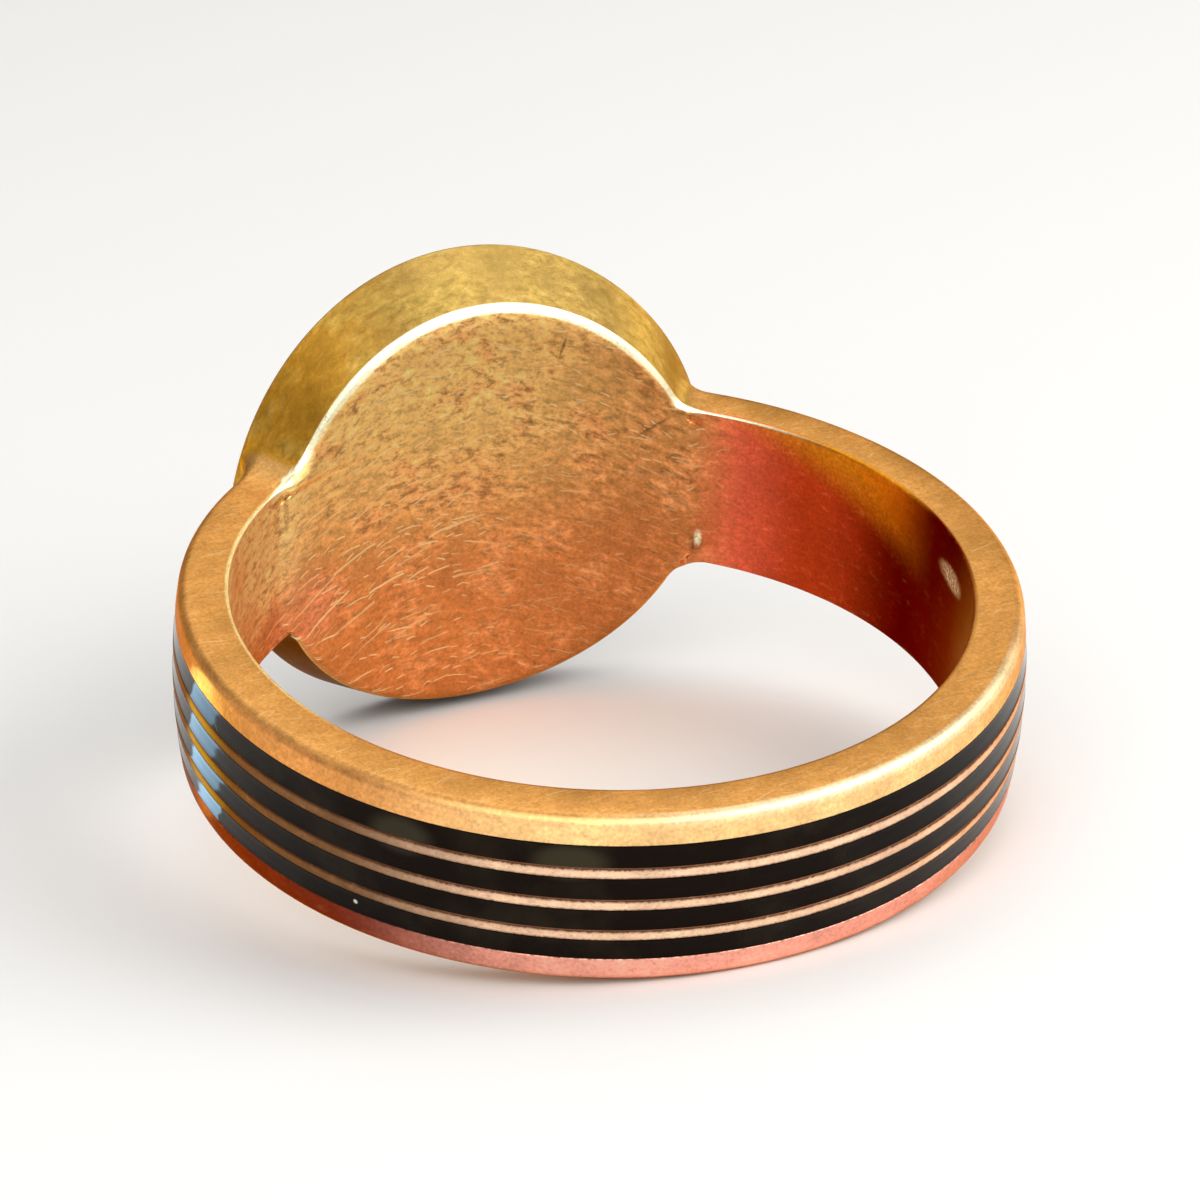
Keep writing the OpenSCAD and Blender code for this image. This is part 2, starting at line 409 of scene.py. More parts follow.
bowed_head = bowed_head_tree()
bow_sizes = {
    "Middle": plate_middle, "Bow": bow, "Back radius": back_r, "Flare": flare, "Drop": plate_drop,
    "Depth": head_depth, "Filled to": fill_low, "Bevelled from": fill_high}
flat_r = back_r - bevel_w
bevel_corner = (back_r - 0.35 * bevel_w, 0.35 * bevel_depth)
rim_edge = head_depth - rim_soft
outside = [(flat_r * i / 9, 0, 0) for i in range(9)]
outside += bend((flat_r, 0), bevel_corner, (wall_r(bevel_depth), bevel_depth), 5)
outside += [(wall_r(d), d, 0) for d in (bevel_depth + 0.03, 0.5, 0.9, 1.3, rim_edge - 0.03)]
outside += arc((wall_r(rim_edge) - rim_soft, rim_edge), rim_soft, 0, 90, 4)
outside += [(r, head_depth, 0) for r in (5.9, 4.4, 2.9, 1.4, 0)]
for i, (r, d, _) in enumerate(outside):
    if r > 5 and d < rim_edge - 0.1:
        outside[i] = (r, d, min(d, (full_r(d) - r) / (1 + flare)))
head = grow("head", bowed_head, outside, False, gold, Steps=head_steps, **bow_sizes)
combine(body, head, "UNION")

solder_top_left = 0.9
solder_top_right = 0.5
solder_low_right = 0.6
solder_low_left = 0.06
solder_outside = 0.35
solder_inside = 0.05
solder_least = 0.12
solder_fineness = 0.09
joints_ahead_of = 4.5
front_kept = 0.15
surface_near = 0.015
crown = [(crown_r(z), z, 0) for z in np.linspace(1.9, -1.9, 12)]
shank_outline = np.array(inner_top + outer_top + crown + outer_low + inner_low)[:, :2]
head_outline = np.array(outside[:-1] + [(-r, d, 0) for r, d, _ in outside[:0:-1]])[:, :2]
full_outline = np.array([(-plate_r, 0), (plate_r, 0), (rim_r, head_depth), (-rim_r, head_depth)])


def rise(value, low, high):
    """Goes smoothly from 0 at low to 1 at high"""
    share = np.clip((value - low) / (high - low), 0, 1)
    return share * share * (3 - 2 * share)


def from_outline(points, outline):
    """Distance of points from a closed outline in its plane, negative inside it"""
    step = np.roll(outline, -1, 0) - outline
    offset = points[:, None, :] - outline[None]
    share = np.clip((offset * step).sum(2) / (step ** 2).sum(1), 0, 1)
    gap = np.sqrt(((offset - share[..., None] * step) ** 2).sum(2)).min(1)
    above = outline[:, 1] > points[:, None, 1]
    crossed = above != np.roll(above, -1, 1)
    slope = step[:, 0] / np.where(step[:, 1] == 0, 1, step[:, 1])
    beside = points[:, None, 0] < outline[:, 0] + (points[:, None, 1] - outline[:, 1]) * slope
    inside = (crossed & beside).sum(1) % 2 == 1
    return np.where(inside, -gap, gap)


def depth_in_head(points):
    """Depth from the back plate towards the front, with the bow taken out"""
    x, y, z = points.T
    depth = y - plate_middle
    for _ in range(3):
        depth = y - plate_middle + bow * (x / wall_r(np.clip(depth, 0, head_depth))) ** 2
    return depth


def from_shank_and_head(points):
    """Distances of points from the shank alone and from the head alone"""
    x, y, z = points.T
    turned = np.stack([np.hypot(x, y), z], 1)
    depth = depth_in_head(points)
    level = z + plate_drop * (1 - depth / head_depth)
    upright = np.stack([np.hypot(x, level), depth], 1)
    head = from_outline(upright, head_outline)
    head += (from_outline(upright, full_outline) - head) * (1 - rise(abs(level), fill_low, fill_high))
    return from_outline(turned, shank_outline), head


def solder_size(points):
    """How far the solder reaches from a joint: most at the top left, hardly at all at the bottom left"""
    x, y, z = points.T
    right = rise(x, -1, 1)
    top = rise(z, -1.6, 1.6)
    size = (1 - right) * (top * solder_top_left + (1 - top) * solder_low_left)
    size += right * (top * solder_top_right + (1 - top) * solder_low_right)
    radius = np.hypot(x, y)
    on_edge = rise(abs(z), 1.8, 2.3)
    size += (1 - rise(radius, 9.1, 9.6)) * (1 - on_edge) * (solder_inside - size)
    outer = rise(radius, 9.9, 10.2) * (1 - on_edge)
    return size + outer * (np.minimum(size, solder_outside) - size)


def soldered(points):
    """Distance from the shank and head with their joint filled by solder"""
    shank, head = from_shank_and_head(points)
    size = solder_size(points)
    near = np.clip(size - abs(shank - head), 0, None) / size
    return np.minimum(shank, head) - near ** 2 * size / 4


def beside_joint(points, reach):
    """Tells which points of the surface lie within the solder's reach of the shank and of the head"""
    found = (points[:, 1] > joints_ahead_of) & (depth_in_head(points) < head_depth - front_kept)
    ahead = points[found]
    shank, head = from_shank_and_head(ahead)
    size = solder_size(ahead)
    on_surface = abs(np.minimum(shank, head)) < surface_near
    found[found] = on_surface & (size > solder_least) & (np.maximum(shank, head) < size * reach)
    return found


def fill_joints(mesh, fineness):
    """Cuts the faces near the joints small, and lifts their points to the surface of the solder"""
    probe = 0.001
    metal = bmesh.new()
    metal.from_mesh(mesh)
    bmesh.ops.remove_doubles(metal, verts=metal.verts, dist=0.006)
    bmesh.ops.dissolve_degenerate(metal, edges=metal.edges, dist=0.002)
    for _ in range(8):
        metal.verts.ensure_lookup_table()
        metal.verts.index_update()
        near = beside_joint(np.array([v.co for v in metal.verts]), 1.1)
        touched = [f for f in metal.faces if len(f.verts) > 3 and any(near[v.index] for v in f.verts)]
        bmesh.ops.triangulate(metal, faces=touched, quad_method="BEAUTY", ngon_method="BEAUTY")
        long = [
            e for e in metal.edges
            if (near[e.verts[0].index] or near[e.verts[1].index]) and e.calc_length() > fineness]
        if not long:
            break
        bmesh.ops.subdivide_edges(metal, edges=long, cuts=1)
        bmesh.ops.dissolve_degenerate(metal, edges=metal.edges, dist=0.0005)
    metal.verts.ensure_lookup_table()
    metal.verts.index_update()
    points = np.array([v.co for v in metal.verts])
    chosen = np.flatnonzero(beside_joint(points, 0.98))
    neighbours = [[e.other_vert(metal.verts[i]).index for e in metal.verts[i].link_edges] for i in chosen]
    for relax in range(4):
        here = points[chosen]
        slope = np.stack([
            (soldered(here + step) - soldered(here - step)) / (2 * probe) for step in np.eye(3) * probe], 1)
        slope /= np.maximum((slope ** 2).sum(1), 0.2)[:, None]
        for _ in range(3):
            here = here - soldered(here)[:, None] * slope
        points[chosen] = here
        if relax < 3:
            points[chosen] = [points[n].mean(0) * 0.6 + points[i] * 0.4 for i, n in zip(chosen, neighbours)]
    for i in chosen:
        metal.verts[i].co = points[i]
    metal.to_mesh(mesh)
    metal.free()


fill_joints(body.data, solder_fineness)

chamfer = 0.07
open_r = wall_r(head_depth) - wall_t + 0.04
cut_end = head_depth + 2.6
inside = [(r, plate_t, 0) for r in (0, 1.4, 2.8, 4.2)]
inside += [
    (wall_r(plate_t) - wall_t, plate_t, 0), (open_r - chamfer, head_depth - chamfer, 0),
    (open_r, head_depth, 0), (open_r, cut_end, 0), (0, cut_end, 0)]
space = grow("head space", bowed_head, inside, False, gold, Steps=head_steps, **bow_sizes)
combine(body, space, "DIFFERENCE")
clean(body.data)


def soft(tree, value, low, high):
    """Goes smoothly from 0 at low to 1 at high"""
    return add(
        tree, "ShaderNodeMapRange", {"Value": value, "From Min": low, "From Max": high},
        interpolation_type="SMOOTHSTEP").outputs[0]


def lay_over(tree, share, under, over):
    """One colour laid over another where the mask says so"""
    return add(tree, "ShaderNodeMix", {0: share, 6: under, 7: over}, data_type="RGBA").outputs[2]


def slide(tree, share, under, over):
    """The same for two values"""
    return add(tree, "ShaderNodeMix", {0: share, 2: under, 3: over}, data_type="FLOAT").outputs[0]


def scale(tree, vector, factor):
    """A vector made longer or shorter"""
    return add(tree, "ShaderNodeVectorMath", {0: vector, 3: factor}, operation="SCALE").outputs[0]


def ring_places_group():
    """Where a point lies on the ring, in millimetres, and which face of the gold it is on.
    Turn is its angle round the finger hole, 0 opposite to the head and growing to the right."""
    tree = bpy.data.node_groups.new("ring places", "ShaderNodeTree")
    sockets(tree, "INPUT", [("Place", "Vector", None)])
    sockets(tree, "OUTPUT", [("Ring", "Vector", None), ("Face", "Vector", None)] + [
        (name, "Float", None) for name in (
            "Side", "Inside", "Plate", "Bevel", "Wall", "Outer", "Joint", "Line", "Rail edge", "Hole edge",
            "Top round", "Front rim", "Across", "Height", "Turn")])
    place = tree.nodes.new("NodeGroupInput").outputs[0]
    ring = add(
        tree, "ShaderNodeMapping", {
            "Vector": place, "Location": hole_middle, "Rotation": (lean, 0, 0), "Scale": (mm, mm, mm)},
        vector_type="TEXTURE").outputs[0]
    x, y, z = add(tree, "ShaderNodeSeparateXYZ", {0: ring}).outputs
    flat = add(tree, "ShaderNodeVectorMath", {0: ring, 1: (1, 1, 0)}, operation="MULTIPLY").outputs[0]
    radius = add(tree, "ShaderNodeVectorMath", {0: flat}, operation="LENGTH").outputs[1]
    turn = calc(tree, "ARCTAN2", x, times(tree, y, -1.0))
    height = calc(tree, "ABSOLUTE", z)

    # depth in the head and distance off its wall, with the bow taken out
    about_wall_r = 6.1
    behind = minus(tree, y, plate_middle)
    depth = plus(tree, behind, times(tree, bow / about_wall_r ** 2, x, x))
    near = calc(tree, "MINIMUM", most(tree, depth, 0.0), head_depth)
    across = ratio(tree, x, plus(tree, times(tree, near, flare), back_r))
    depth = plus(tree, behind, times(tree, bow, across, across))
    to_front = minus(tree, 1.0, times(tree, depth, 1 / head_depth))
    level = plus(tree, z, times(tree, to_front, plate_drop))
    upright = add(tree, "ShaderNodeCombineXYZ", {0: x, 1: level}).outputs[0]
    reach = add(tree, "ShaderNodeVectorMath", {0: upright}, operation="LENGTH").outputs[1]
    off = minus(tree, reach, plus(tree, times(tree, depth, flare), back_r))

    # masks of the faces and edges
    ahead = soft(tree, y, 5.0, 5.5)
    on_head = times(tree, ahead, soft(tree, off, 0.22, 0.1), soft(tree, depth, -0.12, -0.04))
    not_head = minus(tree, 1.0, on_head)
    inside = times(tree, soft(tree, radius, 9.14, 9.06), soft(tree, depth, bevel_depth, 0.08))
    to_right = times(tree, ahead, soft(tree, x, 6.7, 5.3))
    plate = times(tree, inside, most(tree, to_right, soft(tree, turn, -0.9, -1.5)))
    bright_w = slide(tree, soft(tree, calc(tree, "ABSOLUTE", x), 2.5, 5.3), bevel_w, 0.55 * bevel_w)
    bevel_place = plus(tree, off, bright_w)
    bevel = times(
        tree, on_head, soft(tree, bevel_place, -0.02, 0.02), soft(tree, z, 2.1, 2.4),
        soft(tree, depth, 0.0, 0.03), soft(tree, depth, bevel_depth + 0.04, bevel_depth))
    wall = times(
        tree, on_head, soft(tree, depth, bevel_depth, bevel_depth + 0.04), soft(tree, off, -0.25, -0.1))
    side = times(tree, soft(tree, height, 2.1, 2.2), not_head)
    outer = times(tree, soft(tree, radius, 10.0, 10.1), soft(tree, height, 2.26, 2.06), not_head)
    joint = times(
        tree, ahead, soft(tree, off, 0.8, 0.1), soft(tree, off, -0.3, -0.1), minus(tree, 1.0, inside))
    front_rim = times(tree, on_head, soft(tree, depth, head_depth - 0.13, head_depth - 0.06))
    hole_edge = times(
        tree, soft(tree, radius, 9.07, 9.03), soft(tree, radius, 8.9, 8.96), soft(tree, z, 2.18, 2.215),
        not_head)
    top_round = times(tree, soft(tree, z, 1.95, 2.08), soft(tree, radius, round_r, round_r + 0.08), not_head)
    line = add(
        tree, "ShaderNodeMath", {0: z, 1: 0.5 * stripe_pitch, 2: -0.5 * stripe_pitch},
        operation="WRAP").outputs[0]
    rail_edge = minus(tree, height, 1.5 * stripe_pitch + stripe_half)

    # each face laid flat, for the scratches and the grain
    wrapped = add(tree, "ShaderNodeCombineXYZ", {0: times(tree, turn, 10.3), 1: z}).outputs[0]
    level_place = add(tree, "ShaderNodeCombineXYZ", {0: x, 1: y}).outputs[0]
    along = times(tree, calc(tree, "ARCTAN2", x, y), bore_r)
    arch = calc(tree, "MINIMUM", most(tree, along, -6.0), 6.0)
    arched = plus(tree, z, times(tree, arch, plus(tree, times(tree, arch, 0.0375), 0.13)))
    plate_place = add(tree, "ShaderNodeCombineXYZ", {0: along, 1: arched}).outputs[0]
    round_head = times(tree, calc(tree, "ARCTAN2", x, z), 6.2)
    wall_place = add(tree, "ShaderNodeCombineXYZ", {0: round_head, 1: depth}).outputs[0]
    face = lay_over(tree, side, wrapped, level_place)
    face = lay_over(tree, wall, face, wall_place)
    face = lay_over(tree, inside, face, plate_place)
    add(tree, "NodeGroupOutput", {
        "Ring": ring, "Face": face, "Side": side, "Inside": inside, "Plate": plate, "Bevel": bevel,
        "Wall": wall, "Outer": outer, "Joint": joint, "Line": line, "Rail edge": rail_edge,
        "Hole edge": hole_edge, "Top round": top_round, "Front rim": front_rim, "Across": x, "Height": z,
        "Turn": turn})
    return tree


def scratches_group():
    """Short scratches, one to a cell, each with its own slant, bend and strength"""
    tree = bpy.data.node_groups.new("short scratches", "ShaderNodeTree")
    sockets(tree, "INPUT", [
        ("Place", "Vector", None), ("Cell", "Float", 0.5), ("Slant", "Float", 0.0), ("Spread", "Float", 1.0),
        ("Length", "Float", 0.4), ("Width", "Float", 0.03), ("Share", "Float", 0.6), ("Bend", "Float", 0.2)])
    sockets(tree, "OUTPUT", [("Mask", "Float", None)])
    given = tree.nodes.new("NodeGroupInput").outputs
    scaled = scale(tree, given["Place"], ratio(tree, 1.0, given["Cell"]))
    cells = add(tree, "ShaderNodeTexVoronoi", {"Vector": scaled, "Scale": 1.0}, voronoi_dimensions="2D")
    local = add(
        tree, "ShaderNodeVectorMath", {0: scaled, 1: cells.outputs["Position"]},
        operation="SUBTRACT").outputs[0]
    draw = add(tree, "ShaderNodeSeparateColor", {0: cells.outputs["Color"]}).outputs
    spread = times(tree, minus(tree, draw[0], 0.5), given["Spread"])
    slant = plus(tree, given["Slant"], spread)
    turned = add(
        tree, "ShaderNodeVectorRotate", {"Vector": local, "Angle": slant}, rotation_type="Z_AXIS",
        invert=True).outputs[0]
    along, across, _ = add(tree, "ShaderNodeSeparateXYZ", {0: turned}).outputs
    bend_here = times(tree, minus(tree, draw[1], 0.5), given["Bend"], along, along)
    off_line = times(tree, calc(tree, "ABSOLUTE", plus(tree, across, bend_here)), given["Cell"])
    thin = soft(tree, ratio(tree, off_line, given["Width"]), 1.0, 0.1)
    ends = soft(tree, ratio(tree, calc(tree, "ABSOLUTE", along), given["Length"]), 1.0, 0.4)
    there = calc(tree, "LESS_THAN", draw[2], given["Share"])
    strength = plus(tree, 0.3, times(tree, draw[1], 0.7))
    add(tree, "NodeGroupOutput", {0: times(tree, thin, ends, there, strength)})
    return tree


def grain_group():
    """Fine uneven metal or glass: a small grain and larger soft patches"""
    tree = bpy.data.node_groups.new("surface grain", "ShaderNodeTree")
    sockets(tree, "INPUT", [("Place", "Vector", None), ("Grain", "Float", 0.1), ("Patch", "Float", 1.5)])
    sockets(tree, "OUTPUT", [("Grain", "Float", None), ("Patches", "Float", None)])
    given = tree.nodes.new("NodeGroupInput").outputs
    fine = add(tree, "ShaderNodeTexNoise", {
        "Vector": given[0], "Scale": ratio(tree, 1.0, given["Grain"]), "Detail": 3.0, "Roughness": 0.6})
    broad = add(tree, "ShaderNodeTexNoise", {
        "Vector": given[0], "Scale": ratio(tree, 1.0, given["Patch"]), "Detail": 4.0, "Roughness": 0.55})
    add(tree, "NodeGroupOutput", {0: fine.outputs[0], 1: broad.outputs[0]})
    return tree


def specks_group():
    """Small round pits or specks, in some of the cells only"""
    tree = bpy.data.node_groups.new("specks", "ShaderNodeTree")
    sockets(tree, "INPUT", [
        ("Place", "Vector", None), ("Cell", "Float", 1.0), ("Size", "Float", 0.05), ("Share", "Float", 0.3)])
    sockets(tree, "OUTPUT", [("Mask", "Float", None)])
    given = tree.nodes.new("NodeGroupInput").outputs
    cells = add(tree, "ShaderNodeTexVoronoi", {
        "Vector": given["Place"], "Scale": ratio(tree, 1.0, given["Cell"])})
    draw = add(tree, "ShaderNodeSeparateColor", {0: cells.outputs["Color"]}).outputs
    size = times(tree, given["Size"], plus(tree, 0.4, draw[1]))
    away = times(tree, cells.outputs["Distance"], given["Cell"])
    near = soft(tree, ratio(tree, away, size), 1.0, 0.5)
    there = calc(tree, "LESS_THAN", draw[0], given["Share"])
    add(tree, "NodeGroupOutput", {0: times(tree, near, there)})
    return tree


ring_places = ring_places_group()
short_scratches = scratches_group()
surface_grain = grain_group()
specks = specks_group()


def use(tree, group, **values):
    """Places a shader group in a material, with its inputs by name"""
    return add(tree, "ShaderNodeGroup", {k.replace("_", " "): v for k, v in values.items()}, node_tree=group)


def start_material(material):
    """Clears a material and gives its tree, its shader and the places on the ring"""
    material.use_nodes = True
    tree = material.node_tree
    tree.nodes.clear()
    shader = tree.nodes.new("ShaderNodeBsdfPrincipled")
    add(tree, "ShaderNodeOutputMaterial", {0: shader.outputs[0]})
    group = tree.nodes.new("ShaderNodeGroup")
    group.node_tree = ring_places
    tree.links.new(tree.nodes.new("ShaderNodeTexCoord").outputs["Object"], group.inputs[0])
    return tree, shader, group.outputs


def spot(tree, place, centre, size, slant=0.0):
    """A small soft mark round a point of the ring, with its size along each axis in millimetres"""
    near = add(
        tree, "ShaderNodeMapping", {
            "Vector": place, "Location": centre, "Rotation": (0, slant, 0), "Scale": size},
        vector_type="TEXTURE").outputs[0]
    away = add(tree, "ShaderNodeVectorMath", {0: near}, operation="LENGTH").outputs[1]
    return soft(tree, away, 1.0, 0.4)


# Colours of the gold. Some are painted light that stands in for how the ring is lit: the plate's top, low
# and right colours, the inner face's near, middle, far, top-band and left colours, the outer face's left
# colours and its pink lower rail, the wall's left and low colours and the pale highlight colour. The colour
# at the lines' edges is partly painted shade.
side_gold = (0.68, 0.33, 0.09, 1)
wall_gold = (0.6, 0.38, 0.1, 1)
wall_left_lit_gold = (0.7, 0.33, 0.03, 1)
wall_olive_gold = (0.5, 0.34, 0.075, 1)
wall_low_shade_gold = (0.07, 0.03, 0.01, 1)
plate_top_lit_gold = (1.0, 0.66, 0.22, 1)
plate_low_reflection_gold = (0.7, 0.25, 0.072, 1)
plate_brown_gold = (0.7, 0.3, 0.11, 1)
plate_pink_gold = (0.7, 0.23, 0.12, 1)
plate_right_shade_gold = (0.53, 0.165, 0.045, 1)
bore_near_reflection_gold = (0.72, 0.135, 0.072, 1)
bore_mid_shade_gold = (0.46, 0.05, 0.011, 1)
bore_far_shade_gold = (0.12, 0.0, 0.0, 1)
bore_front_gold = (0.5, 0.21, 0.05, 1)
bore_left_highlight_gold = (1.0, 0.8, 0.34, 1)
bore_band_reflection_gold = (0.74, 0.28, 0.012, 1)
rail_gold = (1.0, 0.62, 0.26, 1)
rail_left_shade_gold = (0.8, 0.34, 0.095, 1)
low_rail_reflection_gold = (1.0, 0.46, 0.35, 1)
low_rail_left_shade_gold = (0.26, 0.04, 0.022, 1)
line_gold = (1.0, 0.66, 0.44, 1)
line_left_shade_gold = (0.22, 0.11, 0.05, 1)
edge_smear_and_shade_gold = (0.1, 0.04, 0.02, 1)
highlight_gold = (1.0, 0.93, 0.62, 1)
solder_gold = (0.78, 0.44, 0.14, 1)
light_gold = (1.0, 0.8, 0.4, 1)
dark_gold = (0.36, 0.14, 0.04, 1)
pit_gold = (0.08, 0.03, 0.01, 1)
tree, shader, on = start_material(gold)
tiny = use(tree, surface_grain, Place=on["Ring"], Grain=0.09, Patch=1.3).outputs
grain = minus(tree, tiny[0], 0.5)
stretched = add(
    tree, "ShaderNodeVectorMath", {0: on["Face"], 1: (2.4, 4.6, 0)}, operation="MULTIPLY").outputs[0]
rubbed = add(
    tree, "ShaderNodeTexNoise", {
        "Vector": stretched, "Scale": 1.0, "Detail": 6.0, "Roughness": 0.7, "Distortion": 0.25},
    noise_dimensions="2D").outputs[0]

# the back plate, with painted light: lighter at the top, a warm painted reflection at the bottom and painted
# shade, darker and redder, at the right; redder also by the burr
plate_gold = lay_over(tree, soft(tree, on["Height"], 4.0, -2.5), plate_top_lit_gold, plate_low_reflection_gold)
right_shade_share = times(tree, soft(tree, on["Across"], 0.0, 5.0), 0.6)
plate_gold = lay_over(tree, right_shade_share, plate_gold, plate_right_shade_gold)
in_patches = times(tree, soft(tree, tiny[1], 0.48, 0.66), 0.6)
plate_gold = lay_over(tree, in_patches, plate_gold, plate_brown_gold)
near_burr = spot(tree, on["Ring"], (-5.2, 7.0, -1.6), (2.0, 2.2, 1.6))
plate_gold = lay_over(tree, times(tree, near_burr, 0.5), plate_gold, plate_pink_gold)

# the outer face: two rails, the three lines between the stripes, and the plain shoulders by the head
# painted shade: towards the left the rails and lines are painted darker
left_shade_share = times(tree, soft(tree, on["Turn"], -0.45, -1.05), soft(tree, on["Turn"], -2.4, -2.0))
# the lines' pale core sits a little high and fades dark to their edges: a painted highlight and painted
# shade, partly also enamel smeared onto the gold
on_line = calc(tree, "ABSOLUTE", plus(tree, on["Line"], 0.02))
on_line = plus(tree, on_line, times(tree, grain, 0.14))
line_colour = lay_over(tree, left_shade_share, line_gold, line_left_shade_gold)
line_colour = lay_over(tree, soft(tree, on_line, 0.14, 0.05), edge_smear_and_shade_gold, line_colour)
# painted reflection: the lower rail is painted pink at the front and turns back to plain rail gold on the
# far side
low_rail_colour = lay_over(tree, left_shade_share, low_rail_reflection_gold, low_rail_left_shade_gold)
far_side = most(tree, soft(tree, on["Turn"], 1.4, 1.8), soft(tree, on["Turn"], -2.0, -2.4))
low_rail_colour = lay_over(tree, far_side, low_rail_colour, rail_gold)
rail_colour = lay_over(tree, left_shade_share, rail_gold, rail_left_shade_gold)
outer_gold = lay_over(tree, soft(tree, on["Height"], -1.5, -1.6), line_colour, low_rail_colour)
outer_gold = lay_over(tree, soft(tree, on["Height"], 1.5, 1.6), outer_gold, rail_colour)
# the rails darken where they meet the enamel: partly enamel smeared onto the gold, partly painted shade
rail_smear_and_shade = soft(tree, plus(tree, on["Rail edge"], times(tree, grain, 0.08)), 0.0, 0.04)
rail_smear_and_shade = most(tree, rail_smear_and_shade, soft(tree, on["Rail edge"], -0.1, -0.12))
outer_gold = lay_over(tree, rail_smear_and_shade, edge_smear_and_shade_gold, outer_gold)
shoulder = soft(tree, calc(tree, "ABSOLUTE", on["Turn"]), math.pi - stripe_end, math.pi - stripe_end + 0.04)
outer_gold = lay_over(tree, shoulder, outer_gold, rail_gold)

# the inside of the finger hole: its right side from the joint on, the near part, and its left side. The
# right side is painted reflection and shade: red by the joint, darker further on and nearly black at the far
# end, with a band of painted orange reflection high on it
bore_colour = lay_over(tree, soft(tree, on["Turn"], 2.42, 2.1), bore_near_reflection_gold, bore_mid_shade_gold)
bore_colour = lay_over(tree, soft(tree, on["Turn"], 2.1, 1.7), bore_colour, bore_far_shade_gold)
slanting = plus(tree, on["Height"], times(tree, minus(tree, 2.0, on["Turn"]), 3.0))
slanting = plus(tree, slanting, times(tree, grain, 0.5))
top_reflection_band = times(tree, soft(tree, slanting, 0.7, 2.3), soft(tree, on["Turn"], 1.55, 1.85))
bore_colour = lay_over(tree, top_reflection_band, bore_colour, bore_band_reflection_gold)
bore_colour = lay_over(tree, soft(tree, on["Turn"], 1.45, 1.0), bore_colour, bore_front_gold)
# painted highlight: the left side of the inner face is painted pale and bright
left_highlight_share = times(tree, soft(tree, on["Turn"], -1.0, -1.4), soft(tree, on["Turn"], -2.6, -2.3))
left_highlight_share = times(tree, left_highlight_share, soft(tree, on["Height"], -2.2, 0.6))
inside_colour = lay_over(tree, on["Plate"], bore_colour, plate_gold)
inside_colour = lay_over(tree, left_highlight_share, inside_colour, bore_left_highlight_gold)

# the wall of the head, then all faces together, and painted highlights along the bright edges over them
# painted light: the wall's left side is painted a deeper orange
wall_colour = lay_over(tree, soft(tree, on["Across"], -0.5, -5.0), wall_gold, wall_left_lit_gold)
wall_colour = lay_over(tree, times(tree, soft(tree, tiny[1], 0.5, 0.64), 0.5), wall_colour, wall_olive_gold)
# painted shade: the lower part of the wall is painted nearly black
wall_colour = lay_over(tree, soft(tree, on["Height"], 1.0, -1.0), wall_colour, wall_low_shade_gold)
# painted highlight along the front rim at the left
front_rim_highlight = times(tree, on["Front rim"], soft(tree, on["Across"], -2.5, -4.5), 0.6)
wall_colour = lay_over(tree, front_rim_highlight, wall_colour, highlight_gold)
colour = lay_over(tree, on["Outer"], side_gold, outer_gold)
colour = lay_over(tree, times(tree, on["Joint"], 0.5), colour, solder_gold)
colour = lay_over(tree, on["Wall"], colour, wall_colour)
colour = lay_over(tree, on["Inside"], colour, inside_colour)
# painted highlights: along the finger hole's edge at both sides, on the plate's bevel and on the top
# rounding at the front
hole_edge_highlight = most(tree, soft(tree, on["Turn"], -1.45, -1.75), soft(tree, on["Turn"], 2.0, 2.35))
hole_edge_highlight = times(tree, hole_edge_highlight, on["Hole edge"])
top_round_highlight = times(
    tree, on["Top round"], soft(tree, on["Turn"], -0.5, 0.0), soft(tree, on["Turn"], 1.15, 0.75), 0.5)
edge_highlight = most(tree, hole_edge_highlight, on["Bevel"], top_round_highlight)
colour = lay_over(tree, edge_highlight, colour, highlight_gold)

# wear: layers of short scratches, rubbed streaks and a mottled grain, most of it on the back plate
wobble = add(tree, "ShaderNodeTexNoise", {"Vector": on["Face"], "Scale": 1.6, "Detail": 1.0}).outputs[1]
wavy = add(
    tree, "ShaderNodeVectorMath", {0: on["Face"], 1: scale(tree, wobble, 0.14)}, operation="ADD").outputs[0]
layers = []
for cell, slant, spread, length, width, share in (
        (0.36, 0.1, 1.0, 0.5, 0.034, 0.5),
        (0.8, 0.12, 0.6, 0.7, 0.036, 0.5),
        (1.5, 0.28, 0.4, 0.95, 0.055, 0.65)):
    layers.append(use(
        tree, short_scratches, Place=wavy, Cell=cell, Slant=slant, Spread=spread, Length=length,
        Width=width, Share=share).outputs[0])
plain = minus(tree, 1.0, edge_highlight)
marked = slide(tree, on["Plate"], slide(tree, on["Side"], 0.02, 0.35), 1.0)
low_left = spot(tree, on["Ring"], (-2.6, 8.0, -1.2), (4.6, 4.0, 2.8))
long_marks = times(tree, layers[2], slide(tree, low_left, 0.15, 1.0))
light_marks = most(tree, layers[0], layers[1], long_marks)
low_right = spot(tree, on["Ring"], (3.6, 7.4, -2.4), (5.0, 4.0, 5.0))
light_marks = times(tree, light_marks, marked, plain, minus(tree, 1.0, times(tree, low_right, 0.65)))
uneven = plus(tree, 0.4, times(tree, soft(tree, tiny[1], 0.38, 0.6), 0.6))
on_plate = slide(tree, soft(tree, on["Height"], -3.0, 1.5), 0.34, 0.62)
streak_depth = slide(tree, on["Wall"], slide(tree, on["Plate"], 0.15, on_plate), 0.3)
streak_depth = times(tree, streak_depth, plain, uneven)
patch = plus(tree, 0.6, times(tree, tiny[1], 0.84))
mottle = plus(tree, 1.0, times(tree, grain, slide(tree, on["Wall"], 0.9, 0.4)))
mottle = plus(tree, mottle, times(tree, minus(tree, rubbed, 0.5), streak_depth, 4.2))
shade = scale(tree, colour, times(tree, mottle, patch))
darker = times(tree, soft(tree, rubbed, 0.46, 0.36), streak_depth, 0.6)
brighter = times(tree, soft(tree, rubbed, 0.58, 0.7), streak_depth)
